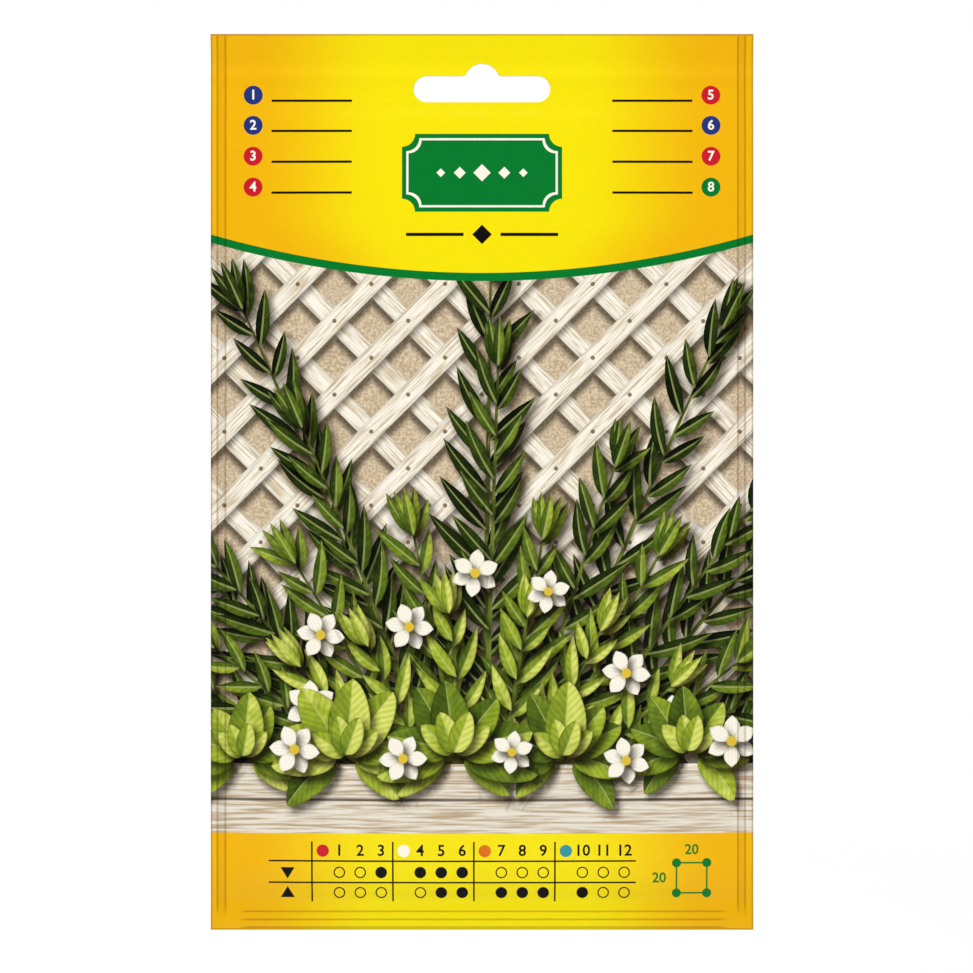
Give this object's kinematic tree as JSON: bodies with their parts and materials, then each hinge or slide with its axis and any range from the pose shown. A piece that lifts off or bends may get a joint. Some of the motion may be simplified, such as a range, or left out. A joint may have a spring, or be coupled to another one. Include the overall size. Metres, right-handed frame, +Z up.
{
  "type": "seed packet",
  "caption": "Flat sealed pouch of glossy printed laminate with a hang slot in its header, holding loose seeds in its lower end.",
  "frame": {"origin": "top of the hang slot's hump, where a display hook bears, midway between the two webs", "axes": "+Z up as the packet hangs, +X to the right as seen from the front, the printed front faces -Y"},
  "size_m": [0.1, 0.0054, 0.165],
  "materials": {
    "printed_front": "glossy printed laminate film",
    "printed_back": "glossy printed laminate film",
    "seed_coat": "matt black wrinkled seed coat"
  },
  "bodies": {
    "root": {"front_web": "printed_front", "back_web": "printed_back", "seeds": "seed_coat"}
  },
  "joints": []
}
